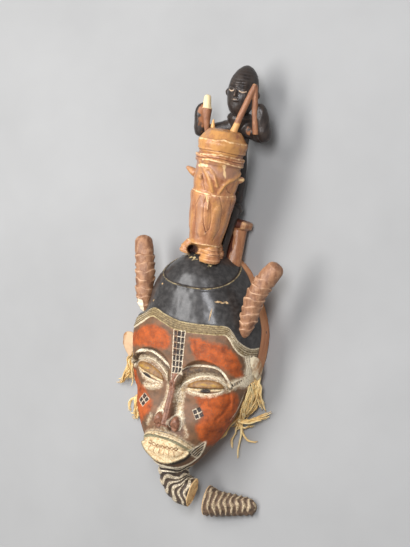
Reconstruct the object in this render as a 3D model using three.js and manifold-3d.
// A carved wooden face mask with a drum and a seated drummer on its head, lying on its back rim.
// Face, cap, horns, ears, drum, stool, drummer and beard stump are one carved block.
// The snapped-off end of the beard lies beside it, and raffia hangs from holes in the rim.
// Millimetres. +Z is up and out of the face, +Y runs from the chin to the drummer, +X is the face's left.
import * as THREE from "three";
import { mergeVertices } from "three/addons/utils/BufferGeometryUtils.js";
import Module from "manifold-3d";

// Driving sizes of the bowl, whose outline is widest halfway up its depth and narrower at the back rim
const TOP = 134;
const CHIN = -105;
const RIM_CHIN = -84;
const WIDEST_AT = 35;
const HALF_WIDTH = 71;
const RIM_HALF_WIDTH = 67.5;
const CHIN_DEPTH = 62;
const BROW_DEPTH = 75;
const CAP_DEPTH = 78;
const WALL = 10;
const FRONT_WALL = 14;
const CROWN_LEAN = -6.5;
const LEFT_TEMPLE = 0.11;

// Driving sizes of the superstructure
const DRUM_BASE = new THREE.Vector3(-3, 125, 55);
const DRUM_TOP = new THREE.Vector3(3, 249, 66);
const DRUM_RADIUS = 26.4;
const HEAD_CENTRE = new THREE.Vector3(1, 306, 36);
const HEAD_HALF_HEIGHT = 27.5;

// The group is moved by this much, so that the middle of its box stands over the origin
const TO_BOX_CENTRE = new THREE.Vector3(3.5, -88.6, 0);

const COLOURS = {
  wood: { color: 0x7a4a33, roughness: 0.55, metalness: 0 },
  beard: { color: 0x4a3d33, roughness: 0.6, metalness: 0 },
  raffia: { color: 0xd9bc7c, roughness: 0.8, metalness: 0 },
};

const wasm = await Module();
wasm.setup();

const vec = (x, y, z) => new THREE.Vector3(x, y, z);
const clamp01 = (t) => Math.min(1, Math.max(0, t));
const lerp = (a, b, t) => a + (b - a) * t;
const evenly = (n) => Array.from({ length: n + 1 }, (_, i) => i / n);

// Rises smoothly from 0 at a to 1 at b
function step(a, b, t) {
  const s = clamp01((t - a) / (b - a));
  return s * s * (3 - 2 * s);
}

// Linear interpolation in a short table of [place, value] pairs
function along(table, t) {
  let i = 0;
  while (i < table.length - 2 && t > table[i + 1][0]) i += 1;
  const [t0, v0] = table[i];
  const [t1, v1] = table[i + 1];
  return lerp(v0, v1, clamp01((t - t0) / (t1 - t0)));
}

// A geometry's closed mesh as a solid that can be joined and cut
function toSolid(geometry) {
  const bare = geometry.index ? geometry.toNonIndexed() : geometry.clone();
  bare.deleteAttribute("normal");
  bare.deleteAttribute("uv");
  const merged = mergeVertices(bare, 1e-4);
  const triVerts = new Uint32Array(merged.index.array);
  const p = merged.attributes.position;
  const [a, b, c] = [vec(), vec(), vec()];
  let volume = 0;
  for (let i = 0; i < triVerts.length; i += 3) {
    a.fromBufferAttribute(p, triVerts[i]);
    b.fromBufferAttribute(p, triVerts[i + 1]);
    c.fromBufferAttribute(p, triVerts[i + 2]);
    volume += a.dot(b.cross(c));
  }
  if (volume < 0)
    for (let i = 0; i < triVerts.length; i += 3)
      [triVerts[i + 1], triVerts[i + 2]] = [triVerts[i + 2], triVerts[i + 1]];
  return new wasm.Manifold(
    new wasm.Mesh({ numProp: 3, vertProperties: p.array, triVerts }),
  );
}

const joined = (solids) => solids.reduce((sum, s) => sum.add(s));

function fromSolid(solid) {
  const mesh = solid.getMesh();
  return new THREE.BufferGeometry()
    .setAttribute("position", new THREE.BufferAttribute(mesh.vertProperties, 3))
    .setIndex(new THREE.BufferAttribute(mesh.triVerts, 1));
}

// A closed solid through rings of equal count, with a fan over each end
function loft(rings) {
  const count = rings[0].length;
  const points = rings.flat();
  const index = [];
  for (let i = 0; i < rings.length - 1; i++)
    for (let j = 0; j < count; j++) {
      const [a, b] = [i * count + j, i * count + ((j + 1) % count)];
      index.push(a, b, a + count, b, b + count, a + count);
    }
  for (const [ring, turned] of [[0, false], [rings.length - 1, true]]) {
    const middle = rings[ring].reduce((sum, p) => sum.add(p), vec(0, 0, 0));
    points.push(middle.divideScalar(count));
    for (let j = 0; j < count; j++) {
      const [a, b] = [ring * count + j, ring * count + ((j + 1) % count)];
      index.push(points.length - 1, turned ? a : b, turned ? b : a);
    }
  }
  const geometry = new THREE.BufferGeometry().setFromPoints(points);
  geometry.setIndex(index);
  return toSolid(geometry);
}

// A limb, stick or raised band through a few points, with a table of radii along it.
// flat scales its thickness in the up direction.
function limb(points, radii, { sides = 8, steps = 8, up = vec(0, 0, 1), flat = 1 } = {}) {
  const curve = new THREE.CatmullRomCurve3(points);
  const rings = (Array.isArray(steps) ? steps : evenly(steps)).map((t) => {
    const middle = curve.getPoint(t);
    const tangent = curve.getTangent(t);
    const across = vec().crossVectors(up, tangent).normalize();
    const over = vec().crossVectors(tangent, across).normalize();
    const r = typeof radii === "function" ? radii(t) : along(radii, t);
    return Array.from({ length: sides }, (_, j) => {
      const angle = (2 * Math.PI * (j + 0.5)) / sides;
      return middle
        .clone()
        .addScaledVector(across, r * Math.cos(angle))
        .addScaledVector(over, flat * r * Math.sin(angle));
    });
  });
  return loft(rings);
}

// Half the width of the bowl's front at one height, and half the width of its back rim
function frontHalfWidth(y) {
  if (y > WIDEST_AT) {
    const s = clamp01((y - WIDEST_AT) / (TOP - WIDEST_AT));
    return HALF_WIDTH * Math.sqrt(1 - s ** 2.05);
  }
  return HALF_WIDTH * (1 - ((WIDEST_AT - y) / 150) ** 2.2) ** 0.8;
}

function rimHalfWidth(y) {
  if (y > WIDEST_AT) return (frontHalfWidth(y) * RIM_HALF_WIDTH) / HALF_WIDTH;
  return RIM_HALF_WIDTH * (1 - ((WIDEST_AT - y) / 125) ** 2);
}

// The crown leans to the right of the mask, and the temple on that side stands out further
const sideways = (y) => CROWN_LEAN * step(50, 100, y);
const fuller = (side, y) => (side < 0 ? 1 + LEFT_TEMPLE * step(-5, 35, y) * (1 - step(48, 58, y)) : 1);

// Depth of the front on the middle line before any carving, falling off in a blunt crown
function frontDepth(y) {
  const straight = along([[CHIN, CHIN_DEPTH], [-80, 72], [-10, BROW_DEPTH], [50, CAP_DEPTH], [TOP, CAP_DEPTH]], y);
  return straight * Math.cbrt(1 - clamp01((y - 60) / (TOP + 1 - 60)) ** 3);
}

// How square the cross section is: squarest across the eyes, round over the cap
const squareness = (y) => along([[CHIN, 3], [-60, 3.6], [0, 4.1], [30, 3.4], [70, 2.5], [TOP, 2.4]], y);

// Eye sockets sunk under the brows, and the muzzle swelling round the mouth
const BROW = { x: 32, y: -9, radiusX: 29, radiusY: 31 };
const SOCKET = { depth: 6, low: -50, high: -26, outer: 60 };
const MUZZLE = { y: -80, halfWidth: 34, halfHeight: 26, rise: 9 };

function browShare(x, y) {
  return Math.hypot((Math.abs(x) - BROW.x) / BROW.radiusX, (y - BROW.y) / BROW.radiusY);
}

function relief(x, y) {
  const side = Math.abs(x);
  const inside = 1 - step(0.86, 1, browShare(x, Math.max(y, BROW.y)));
  const socket = inside * step(SOCKET.low, SOCKET.high, y) * step(3, 11, side);
  const muzzle = 1 - Math.hypot(x / MUZZLE.halfWidth, (y - MUZZLE.y) / MUZZLE.halfHeight);
  return MUZZLE.rise * step(0, 0.55, muzzle) - SOCKET.depth * socket;
}

// A point of the bowl's front, lifted off it by a little
function onFace(x, y, lift = 0) {
  const power = squareness(y);
  const aside = x - sideways(y);
  const share = Math.min(1, Math.abs(aside) / (frontHalfWidth(y) * fuller(aside, y)));
  const up = (1 - share ** power) ** (1 / power);
  return vec(x, y, frontDepth(y) * up + relief(x, y) * step(0.3, 0.7, up) + lift);
}

// The bowl between two walls: its cross sections lofted from chin to crown.
// inset moves the outline in, and drop lowers the front.
function bowl({ columns, stations, inset, drop, floor, carved }) {
  const flat = 0.8;
  const half = evenly(columns).map((t) => {
    if (t < 0.68) return (power) => [(flat * t) / 0.68, (1 - ((flat * t) / 0.68) ** power) ** (1 / power)];
    return (power) => {
      const highest = (1 - flat ** power) ** (1 / power);
      const angle = Math.atan2(highest, flat) * (1 - (t - 0.68) / 0.32);
      const scale = (Math.cos(angle) ** power + Math.sin(angle) ** power) ** (-1 / power);
      return [scale * Math.cos(angle), scale * Math.sin(angle)];
    };
  });
  const rings = stations.map((front) => {
    const rim = front < WIDEST_AT ? lerp(RIM_CHIN, WIDEST_AT, (front - CHIN) / (WIDEST_AT - CHIN)) : front;
    const widths = [rimHalfWidth(rim), frontHalfWidth(front)].map((w) => Math.max(w - inset, 0.4));
    const place = (side, section) => {
      const [out, up] = section(squareness(front));
      const lean = step(0, 0.55, up);
      const half = out * widths[1] - (widths[1] - widths[0]) * (1 - lean);
      const x = side * half * fuller(side, front) + sideways(front);
      const y = lerp(rim, front, lean);
      const z = (frontDepth(front) - drop) * up + (carved ? relief(x, y) * step(0.3, 0.7, up) : 0);
      return vec(x, y, z);
    };
    const right = half.map((section) => place(1, section));
    const left = half.slice(1).map((section) => place(-1, section)).reverse();
    const arch = [...left, ...right];
    if (floor === 0) return arch;
    const ends = [arch[arch.length - 1], arch[0]].map((p) => p.clone().setZ(floor));
    return [...arch, ...ends];
  });
  return loft(rings);
}

// Stations along the bowl, closer together over the carved face
const STATIONS = [
  ...evenly(22).map((t) => lerp(CHIN, 62, t)),
  ...evenly(8).slice(1).map((t) => 62 + 71.7 * Math.sin((t * Math.PI) / 2) ** 0.9),
];
const INNER_STATIONS = evenly(11).map((t) => lerp(CHIN + WALL + 4, TOP - WALL - 1, t ** 0.93));

// Raised carving laid over the face: rounded bands along curves on its front
const EYE = { x: 35, y: -6, slope: 0.13, halfWidth: 22, lid: 9, bulge: 5 };
const SLIT = { drop: 5.6, width: 10.5, height: 3.6 };
const NOSE = { root: 2, tip: -61, rise: 13, wingX: 10, wingY: -53 };
const MOUTH = { y: -72, halfWidth: 25, drop: 21, lip: 3.2 };
const JAW = { y: -66, halfWidth: 37, drop: 35 };
const LID_PLANE = 131;

// A band along points given as [x, y] on the face, sunk to its middle
function band(places, radii, { steps = 12, flat = 0.6, sides = 6, lift = 0 } = {}) {
  return limb(places.map(([x, y]) => onFace(x, y, lift)), radii, { steps, flat, sides });
}

const arc = (from, to, n, place) => evenly(n).map((t) => place(lerp(from, to, t)));

function brow(side) {
  const middle = arc(Math.PI * 0.93, -0.01 * Math.PI, 7, (angle) => [
    side * (BROW.x + (BROW.radiusX - 3) * Math.cos(angle)),
    BROW.y + (BROW.radiusY - 3.5) * Math.sin(angle),
  ]);
  return band(middle, [[0, 3.5], [0.2, 4.8], [0.8, 4.8], [1, 2.5]], { steps: 11, flat: 0.75, sides: 6 });
}

function eyelid(side) {
  const lid = band(
    [[-1, 0.16], [-0.5, 0.03], [0, 0], [0.5, 0.03], [1, 0.1]].map(([a, sag]) => [
      side * (EYE.x + a * EYE.halfWidth),
      EYE.y + EYE.slope * a * EYE.halfWidth - sag * 20,
    ]),
    [[0, 1], [0.25, EYE.lid * 0.8], [0.5, EYE.lid], [0.75, EYE.lid * 0.8], [1, 1]],
    { steps: 8, flat: EYE.bulge / EYE.lid, sides: 6, lift: -1.2 },
  );
  return lid;
}

function slit(side) {
  const box = new THREE.BoxGeometry(SLIT.width, SLIT.height, 60);
  box.rotateZ(side * Math.atan(EYE.slope));
  box.translate(side * EYE.x, EYE.y - SLIT.drop, 75);
  return toSolid(box);
}

function nose() {
  const ridge = [[NOSE.root, 1], [-14, 3.4], [-34, 7], [-50, 11], [NOSE.tip + 3, NOSE.rise - 1], [NOSE.tip, 7]];
  const rings = ridge.map(([y, rise], i) => {
    const top = onFace(0, y, rise);
    const half = lerp(3.6, 6, i / 4);
    const low = onFace(0, y, 0).z - 6;
    return [
      [-half - 2.5, low], [-half, top.z - 3.5], [-half * 0.45, top.z], [half * 0.45, top.z],
      [half, top.z - 3.5], [half + 2.5, low],
    ].map(([x, z]) => vec(x, y, Math.max(z, low)));
  });
  const wings = [-1, 1].map((side) => {
    const ball = new THREE.SphereGeometry(1, 8, 6).scale(6.2, 8, 9);
    const at = onFace(side * NOSE.wingX, NOSE.wingY, 0);
    return toSolid(ball.translate(at.x, at.y, at.z + 1));
  });
  return joined([loft(rings), ...wings]);
}

const mouthEdge = (angle, grow = 0) => {
  const drop = Math.sin(angle) > 0 ? 5 : MOUTH.drop;
  return [(MOUTH.halfWidth + grow) * Math.cos(angle), MOUTH.y - 4 + (drop + grow) * Math.sin(angle)];
};

function mouth() {
  const opening = new THREE.Shape(
    evenly(14).slice(0, 14).map((t) => new THREE.Vector2(...mouthEdge(2 * Math.PI * t, -1))),
  );
  const cut = new THREE.ExtrudeGeometry(opening, { depth: 40, bevelEnabled: false });
  const floor = onFace(0, MOUTH.y - 8).z - 5;
  const lips = [
    band(arc(Math.PI * 1.02, -0.02 * Math.PI, 6, mouthEdge), [[0, 1.6], [0.5, MOUTH.lip], [1, 1.6]], { steps: 8 }),
    band(arc(Math.PI * 0.99, 2.01 * Math.PI, 8, mouthEdge), [[0, 1.6], [0.5, MOUTH.lip * 1.3], [1, 1.6]], { steps: 12 }),
  ];
  const teeth = [-2, -1, 0, 1, 2].map((i) => {
    const at = onFace(i * 8, MOUTH.y - 7 + Math.abs(i) * 0.6);
    return toSolid(new THREE.BoxGeometry(6.4, 8, 8).translate(at.x, at.y, at.z - 3.4));
  });
  return { cut: toSolid(cut.translate(0, 0, floor)), raised: joined([...lips, ...teeth]) };
}

function jawLine() {
  const line = arc(1.04 * Math.PI, 1.96 * Math.PI, 10, (angle) => [
    JAW.halfWidth * Math.cos(angle),
    JAW.y + JAW.drop * Math.sin(angle),
  ]);
  return band(line.filter(([x, y]) => Math.abs(x) < frontHalfWidth(y) - 5), [[0, 2], [1, 2]], { steps: 10, sides: 4 });
}

// The hairline's raised band runs across the forehead and drops in a step over each temple
function hairline() {
  const right = [[0, 52.5], [26, 55], [41, 57.5], [47, 54], [53, 46.5], [60, 38], [66, 35.5]];
  const left = right.slice(1).map(([x, y]) => [-x, y]).reverse();
  return band([...left, ...right], [[0, 3.6], [1, 3.6]], { steps: 18, flat: 0.35, sides: 4 });
}

function ladder() {
  return band([[0, 4], [0, 25], [0, 47]], [[0, 5.6], [1, 6.4]], { steps: 4, flat: 0.25, sides: 4 });
}

// The incised edge of the round lid on the crown, cut by a plane that leans back
function lidEdge() {
  const places = evenly(12).map((t) => {
    const x = CROWN_LEAN + 38 * Math.sin((t - 0.5) * Math.PI);
    let [low, high] = [80, 126];
    for (let i = 0; i < 30; i++) {
      const y = (low + high) / 2;
      if (Math.abs(x - sideways(y)) < frontHalfWidth(y) && y + 0.5 * onFace(x, y).z < LID_PLANE) low = y;
      else high = y;
    }
    return [x, low];
  });
  return band(places, [[0, 1.6], [1, 1.6]], { steps: 14, flat: 0.8, sides: 4 });
}

// Round holes through the back rim, and the raffia that hangs from them
const HOLE_RADIUS = 1.9;
const HOLE_HEIGHT = 10;
const HOLES = [78, 62, 6, -12, -30, -46];

// The rim at one height: its point on the outside, and the direction straight out of it
function rimPlace(side, y) {
  const front = y < WIDEST_AT ? lerp(CHIN, WIDEST_AT, (y - RIM_CHIN) / (WIDEST_AT - RIM_CHIN)) : y;
  const slope = (rimHalfWidth(y + 1) - rimHalfWidth(y - 1)) / 2;
  const out = vec(side, -slope, 0).normalize();
  const half = rimHalfWidth(y) * fuller(side, front) + 1;
  return { at: vec(side * half + sideways(front), y, HOLE_HEIGHT), out };
}

function rimHole(side, y) {
  const { at, out } = rimPlace(side, y);
  const ends = [at.clone().addScaledVector(out, -WALL - 10), at.clone().addScaledVector(out, 12)];
  return limb(ends, [[0, HOLE_RADIUS], [1, HOLE_RADIUS]], { sides: 8, steps: 1 });
}

// An ear: a pointed leaf-shaped loop standing out from the side of the head, further on the left
const EAR = { x: 70, z: 38, high: 12.5 };

function ear({ side, y, out }) {
  const place = (a, b, c) => vec(side * (EAR.x + a), y + b, EAR.z + c);
  const loop = [[-4, EAR.high, 3], [out - 3, 7, 0], [out, 0, -1], [out / 2, -9, -1], [-4, -EAR.high, 2]].map((p) => place(...p));
  return joined([
    limb(loop, [[0, 2], [0.5, 2.8], [1, 1.8]], { sides: 6, steps: 8 }),
    limb([place(-3, 9, -3), place(3, 0, -4), place(-3, -9, -3)], [[0, 2], [0.5, 5], [1, 2]], { sides: 6, steps: 4 }),
  ]);
}

// A horn with rings cut round it: a point low on the temple, a blunt end above
const EARS = [{ side: 1, y: 14, out: 8 }, { side: -1, y: 13, out: 16 }];
const HORNS = [
  { path: [vec(59, 50, 52), vec(62, 72, 53), vec(65, 95, 53), vec(73, 115, 52), vec(84, 134, 49)], rings: 8 },
  { path: [vec(-63, 52, 46), vec(-70, 72, 46), vec(-76, 96, 45), vec(-80, 116, 43), vec(-84, 134, 40)], rings: 7 },
];
const HORN_RADII = [[0, 2.4], [0.1, 6.4], [0.25, 9], [0.5, 10.4], [0.8, 10.2], [0.965, 8], [1, 4.8]];

function horn({ path, rings }) {
  const ringed = 0.78;
  const stations = [0, 0.05, ...evenly(rings * 2).map((t) => lerp(0.1, ringed, t)), 0.85, 0.93, 0.975, 1];
  const radius = (t) => {
    const phase = ((t - 0.1) / (ringed - 0.1)) * rings * 2;
    const groove = t > 0.1 && t < ringed && Math.round(phase) % 2 === 1 ? 1 : 0;
    return along(HORN_RADII, t) - groove;
  };
  return limb(path, radius, { sides: 8, steps: stations });
}

// The drum's own frame: its axis, and the directions to its right and its front
const drumAxis = DRUM_TOP.clone().sub(DRUM_BASE).normalize();
const drumFront = vec(0, 0, 1).addScaledVector(drumAxis, -drumAxis.z).normalize();
const drumRight = vec().crossVectors(drumAxis, drumFront);
const DRUM_LENGTH = DRUM_TOP.distanceTo(DRUM_BASE);

function onDrum(right, up, front) {
  return DRUM_BASE.clone()
    .addScaledVector(drumRight, right)
    .addScaledVector(drumAxis, up)
    .addScaledVector(drumFront, front);
}

function roundDrum(radius, angle, share) {
  const turn = (angle * Math.PI) / 180;
  return onDrum(radius * Math.cos(turn), share * DRUM_LENGTH, radius * Math.sin(turn));
}

// Radius of the drum by the share of its length, from its foot to its bevelled head
const DRUM_PROFILE = [
  [0.04, 11], [0.1, 13], [0.13, 16.8], [0.29, 20.2], [0.54, 23.8], [0.58, 21.8], [0.69, 23.8], [0.8, 23.2],
  [0.83, 25.6], [0.87, 25.2], [0.89, 22.8], [0.96, 26], [1, DRUM_RADIUS], [1.06, 20], [1.1, 14],
];

function drumBody() {
  return loft(DRUM_PROFILE.map(([share, radius]) => evenly(16).slice(1).map((t) => roundDrum(radius, 360 * t, share))));
}

// Pegs and knobs on the drum's side
const PEGS = [
  { angle: 176, share: 0.69, length: 11, radius: 5, lift: 5 },
  { angle: -26, share: 0.71, length: 4, radius: 4.4, lift: 1 },
  { angle: 105, share: 0.7, length: 2, radius: 3.6, lift: 2 },
  { angle: 182, share: 0.49, length: 2, radius: 4, lift: 0 },
  { angle: 270, share: 0.7, length: 6, radius: 4.4, lift: 3 },
];

function drumPeg({ angle, share, length, radius, lift }) {
  const points = [[18, -2], [24, 0], [25 + length, lift]].map(([r, up]) =>
    roundDrum(r, angle, share + up / DRUM_LENGTH),
  );
  return limb(points, [[0, radius], [0.5, radius], [1, 1]], { sides: 6, steps: 3, up: drumAxis });
}

// A long pointed panel left standing on the drum's side
function drumPanel(angle, low, high, width, rise) {
  const turn = (angle * Math.PI) / 180;
  const places = [low, (low + high) / 2, high].map((share) =>
    roundDrum(along(DRUM_PROFILE, share) + rise - 3, angle, share),
  );
  const out = drumRight.clone().multiplyScalar(Math.cos(turn)).addScaledVector(drumFront, Math.sin(turn));
  return limb(places, [[0, 3], [0.15, width], [0.85, width], [1, 3]], { sides: 6, steps: 5, up: out, flat: 3 / width });
}

// A ringed foot of the drum, flaring where it stands on the cap
function drumFoot(right, front, size, sink) {
  const points = [onDrum(right * 0.55, 17, front * 0.6), onDrum(right, 7, front), onDrum(right * 1.05, -6 - sink, front * 1.1)];
  const radii = [[0, 8], [0.4, 11], [0.5, 10.4], [0.62, 12.4], [0.8, 13.2], [1, 11]].map(([t, r]) => [t, r * size]);
  return limb(points, radii, { sides: 8, steps: 6, up: drumFront });
}

function drum() {
  return joined([
    drumBody(),
    ...PEGS.map(drumPeg),
    drumPanel(84, 0.16, 0.54, 8, 1.4),
    drumPanel(150, 0.17, 0.52, 6, 1.4),
    drumPanel(20, 0.17, 0.52, 6, 1.4),
    drumFoot(9, 4, 1, 2),
    drumFoot(-23, -3, 0.62, 1),
    drumFoot(8, -14, 1, 8),
  ]);
}

// The stool behind the drum, and the drummer who sits on it
const SEAT = { x: 0, y: 168, z: 15, halfLength: 30, thick: 9, deep: 24, turn: -0.12 };

function stool() {
  const seat = new THREE.BoxGeometry(SEAT.halfLength * 2, SEAT.thick, SEAT.deep);
  seat.rotateZ(SEAT.turn).translate(SEAT.x, SEAT.y, SEAT.z);
  const legs = [-1, 1].map((side) =>
    limb([vec(SEAT.x + side * 17, SEAT.y, SEAT.z), vec(SEAT.x + side * 19, 112, SEAT.z + 6)], [[0, 8], [1, 8.5]], { sides: 6, steps: 1 }),
  );
  return joined([toSolid(seat), ...legs]);
}

function drummerHead() {
  const rings = evenly(10).map((t) => {
    const s = lerp(-0.97, 0.97, t);
    const round = Math.sqrt(1 - s * s);
    const width = s > 0 ? 16.4 * round ** 1.1 : 16.4 * round ** 0.8;
    const depth = s > 0 ? 17.5 * round : 16.5 * round ** 0.75;
    return evenly(12).slice(1).map((turn) => {
      const angle = 2 * Math.PI * turn;
      const nose = 3 * Math.exp(-(((angle - Math.PI / 2) / 0.3) ** 2) - ((s + 0.2) / 0.2) ** 2);
      return vec(
        HEAD_CENTRE.x + width * Math.cos(angle),
        HEAD_CENTRE.y + HEAD_HALF_HEIGHT * s,
        HEAD_CENTRE.z + (depth + nose) * Math.sin(angle) - 2 * s,
      );
    });
  });
  const ears = [-1, 1].map((side) => {
    const at = (x, y) => HEAD_CENTRE.clone().add(vec(side * x, y - 3, 0));
    return limb([at(14, 6), at(17, 0), at(14, -6)], [[0, 1.5], [0.5, 3.2], [1, 1.5]], { sides: 6, steps: 4 });
  });
  return joined([loft(rings), ...ears]);
}

// Where the joints of the drummer are
const ARMS = [
  { shoulder: vec(6, 268, 28), elbow: vec(35, 260, 37), hand: vec(29, 286, 46) },
  { shoulder: vec(-4, 267, 28), elbow: vec(-39, 255, 38), hand: vec(-39, 278, 45) },
];

function drummer() {
  const trunk = limb(
    [vec(1, 172, 18), vec(2, 215, 20), vec(2, 258, 27), vec(1, 280, 31), vec(1, 288, 33)],
    [[0, 13], [0.25, 12], [0.4, 10], [0.6, 13], [0.72, 15.5], [0.8, 13], [0.9, 7.5], [1, 7.5]],
    { sides: 10, steps: 11, flat: 0.72 },
  );
  const arms = ARMS.flatMap(({ shoulder, elbow, hand }) => [
    limb([shoulder, elbow], [[0, 8], [1, 6.5]], { sides: 8, steps: 2 }),
    limb([elbow.clone().add(vec(0, -4, -1)), elbow.clone().lerp(hand, 0.5), hand, hand.clone().add(vec(0, 8, 2))], [[0, 5], [0.2, 7.5], [0.6, 7], [0.85, 6], [1, 4]], { sides: 8, steps: 6 }),
  ]);
  const legs = [-1, 1].flatMap((side) => {
    const knee = vec(side * 14, 180, 30);
    return [
      limb([vec(1 + side * 7, 182, 18), knee], [[0, 9], [1, 7]], { sides: 8, steps: 1, up: vec(0, 1, 0) }),
      limb([knee.clone().add(vec(0, 4, 0)), vec(knee.x, 150, 30), vec(knee.x - side * 2, 116, 32)], [[0, 6], [0.3, 5.6], [1, 5]], { sides: 8, steps: 4 }),
    ];
  });
  return joined([trunk, ...arms, ...legs, drummerHead()]);
}

// The drumsticks: the right one is whole and bent sharply over, the left one is broken off at both ends
function drumsticks() {
  const apex = vec(24, 312, 56);
  return joined([
    limb([vec(28, 254, 45), vec(27, 284, 51), apex], [[0, 4.6], [0.5, 4.6], [1, 3]], { sides: 6, steps: 4 }),
    limb([apex.clone().add(vec(0, 2, 0)), vec(17, 284, 61), vec(8, 254, 60)], [[0, 2.6], [0.8, 3.4], [1, 4.4]], { sides: 6, steps: 4 }),
    limb([vec(-28, 254, 46), vec(-31, 276, 49), vec(-34, 295, 49)], [[0, 4], [0.6, 4.4], [1, 3]], { sides: 6, steps: 3 }),
    limb([vec(-13, 254, 62), vec(-14, 271, 63)], [[0, 3.4], [1, 1]], { sides: 6, steps: 2 }),
  ]);
}

// The beard, a tapering curve with ridges across it, snapped off where it turns outwards
const BEARD_PATH = [vec(0, -84, 47), vec(-2, -102, 40), vec(0, -118, 33), vec(9, -128, 30), vec(22, -130, 29)];

function beardStump() {
  const steps = 12;
  const wave = (t) => (t > 0.3 && t < 0.98 ? 0.7 * (Math.round(t * steps) % 2 ? -1 : 1) : 0);
  return limb(BEARD_PATH, (t) => along([[0, 12], [0.35, 17.5], [0.7, 17], [1, 16]], t) + wave(t), {
    sides: 10,
    steps,
    flat: 0.74,
    up: vec(0, 0, 1),
  });
}

// The whole carved block
function carvedMask() {
  const lips = mouth();
  const face = bowl({ columns: 11, stations: STATIONS, inset: 0, drop: 0, floor: 0, carved: true }).subtract(lips.cut);
  const outside = joined([
    face,
    lips.raised,
    ...[1, -1].flatMap((side) => [brow(side), eyelid(side)]),
    ...EARS.map(ear),
    nose(),
    jawLine(),
    hairline(),
    ladder(),
    lidEdge(),
    ...HORNS.map(horn),
    drum(),
    stool(),
    drummer(),
    drumsticks(),
    beardStump(),
  ]);
  const hollow = bowl({ columns: 6, stations: INNER_STATIONS, inset: WALL, drop: FRONT_WALL, floor: -4, carved: false });
  const holes = HOLES.flatMap((y) => [rimHole(1, y), rimHole(-1, y)]);
  return joined([outside]).subtract(joined([hollow, slit(1), slit(-1), ...holes]));
}

// The snapped-off end of the beard, lying on its side beside the stump
function beardTip() {
  const steps = 10;
  const rings = evenly(steps).map((t) => {
    const notch = Math.round(t * steps) % 2 ? -0.5 : 0.5;
    const half = lerp(17, 5, t ** 1.7) + notch;
    const high = lerp(12, 4.5, t ** 1.6) + notch * 0.6;
    const x = lerp(33, 88, t);
    const y = lerp(-138, -135, t);
    return evenly(12).slice(1).map((turn) => {
      const angle = 2 * Math.PI * turn;
      return vec(x, y + half * Math.cos(angle), Math.max(0, high * (0.94 + 1.06 * Math.sin(angle))));
    });
  });
  return loft(rings);
}

// A raffia fringe: a cord along the outside of the rim, knotted through its holes, with a hank and loose ends
const FRINGES = {
  right: {
    side: 1,
    ends: [[26, -19, 8], [13, -46, 4], [2, -50, 4], [16, -11, 6], [-8, -41, 3], [-22, -42, 4]],
    hank: [[0, 4, 4], [2, -12, 16], [-15, -36, 1]],
  },
  left: {
    side: -1,
    ends: [[33, -43, 13], [26, -22, 12], [24, -40, 12]],
    hank: [[2, -8, 0], [4, -16, 4], [2, -26, 2]],
  },
};

function fringe({ side, ends, hank }) {
  const places = HOLES.filter((y) => y < 30).map((y) => rimPlace(side, y));
  const outside = places.map(({ at, out }) => at.clone().addScaledVector(out, 6));
  const stems = places.map(({ at, out }, i) =>
    limb([outside[i], at.clone().addScaledVector(out, -WALL - 9)], [[0, 1.4], [0.84, 1.4], [0.88, 2.9], [1, 2.6]], { sides: 5, steps: [0, 0.84, 0.88, 1] }),
  );
  const above = rimPlace(side, 17);
  const top = above.at.clone().addScaledVector(above.out, 5.5).add(vec(0, 0, 9));
  const cord = limb([top, ...outside], [[0, 2.2], [1, 2.6]], { sides: 5, steps: 8 });
  const bundle = limb(
    hank.map(([x, y, z]) => outside[0].clone().add(vec(side * x, y, z))),
    [[0, 3], [0.4, 4], [1, 2.5]],
    { sides: 6, steps: 6 },
  );
  const loose = ends.map(([x, y, z], i) => {
    const from = outside[Math.min(i, 2)].clone();
    const to = vec(from.x + side * x, from.y + y, z);
    const between = from.clone().lerp(to, 0.5).add(vec(side * 4, 0, 5));
    return limb([from, between, to], [[0, 2.2], [0.7, 1.6], [1, 0.9]], { sides: 5, steps: 4 });
  });
  return joined([cord, bundle, ...stems, ...loose]);
}

function part(name, solid, colour) {
  const mesh = new THREE.Mesh(fromSolid(solid), new THREE.MeshStandardMaterial(COLOURS[colour]));
  mesh.name = name;
  return mesh;
}

const mask = new THREE.Group();
mask.add(
  part("carved_mask", carvedMask(), "wood"),
  part("beard_tip", beardTip(), "beard"),
  part("raffia_fringe_right", fringe(FRINGES.right), "raffia"),
  part("raffia_fringe_left", fringe(FRINGES.left), "raffia"),
);
mask.position.copy(TO_BOX_CENTRE);

export default mask;
